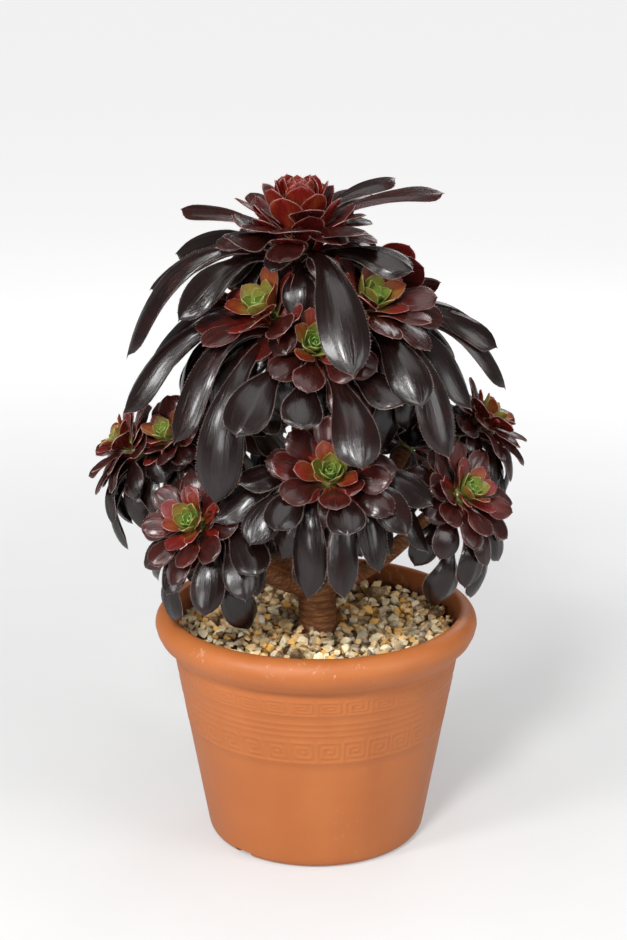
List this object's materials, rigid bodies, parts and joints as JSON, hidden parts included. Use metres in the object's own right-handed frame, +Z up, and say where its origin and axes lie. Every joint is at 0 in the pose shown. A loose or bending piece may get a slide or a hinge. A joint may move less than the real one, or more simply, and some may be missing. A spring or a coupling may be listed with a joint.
{
  "type": "potted succulent",
  "caption": "Branching tree succulent with dark glossy rosettes on woody stems, growing in a round rolled-rim plastic pot topped with gravel.",
  "frame": {"origin": "middle of the pot's base, on the surface that the pot stands on", "axes": "+Z up the plant, -Y the plant's front, +X to the right seen from the front"},
  "size_m": [0.2787, 0.2427, 0.4203],
  "materials": {
    "terracotta_plastic": "matte moulded plastic, terracotta colour, lightly scuffed",
    "potting_mix": "damp crumbly peat-like mix",
    "gravel": "dry angular grit in cream, tan, ochre and grey",
    "stem_bark": "matt brown bark with ringed leaf scars",
    "leaf": "glossy near-black leaves, red and green towards each rosette's heart"
  },
  "bodies": {
    "root": {"branch_back": "stem_bark", "branch_back_left": "stem_bark", "branch_back_right": "stem_bark", "branch_front": "stem_bark", "branch_front_left": "stem_bark", "branch_front_right": "stem_bark", "branch_inner_left": "stem_bark", "branch_side_left": "stem_bark", "branch_side_right": "stem_bark", "branch_upper_back_left": "stem_bark", "branch_upper_back_right": "stem_bark", "branch_upper_front": "stem_bark", "branch_upper_left": "stem_bark", "branch_upper_right": "stem_bark", "gravel_top_dressing": "gravel", "main_stem": "stem_bark", "pot": "terracotta_plastic", "potting_mix": "potting_mix", "rosette_back": "leaf", "rosette_back_left": "leaf", "rosette_back_right": "leaf", "rosette_front": "leaf", "rosette_front_left": "leaf", "rosette_front_right": "leaf", "rosette_inner_left": "leaf", "rosette_leader": "leaf", "rosette_side_left": "leaf", "rosette_side_right": "leaf", "rosette_upper_back_left": "leaf", "rosette_upper_back_right": "leaf", "rosette_upper_front": "leaf", "rosette_upper_left": "leaf", "rosette_upper_right": "leaf"}
  },
  "joints": []
}
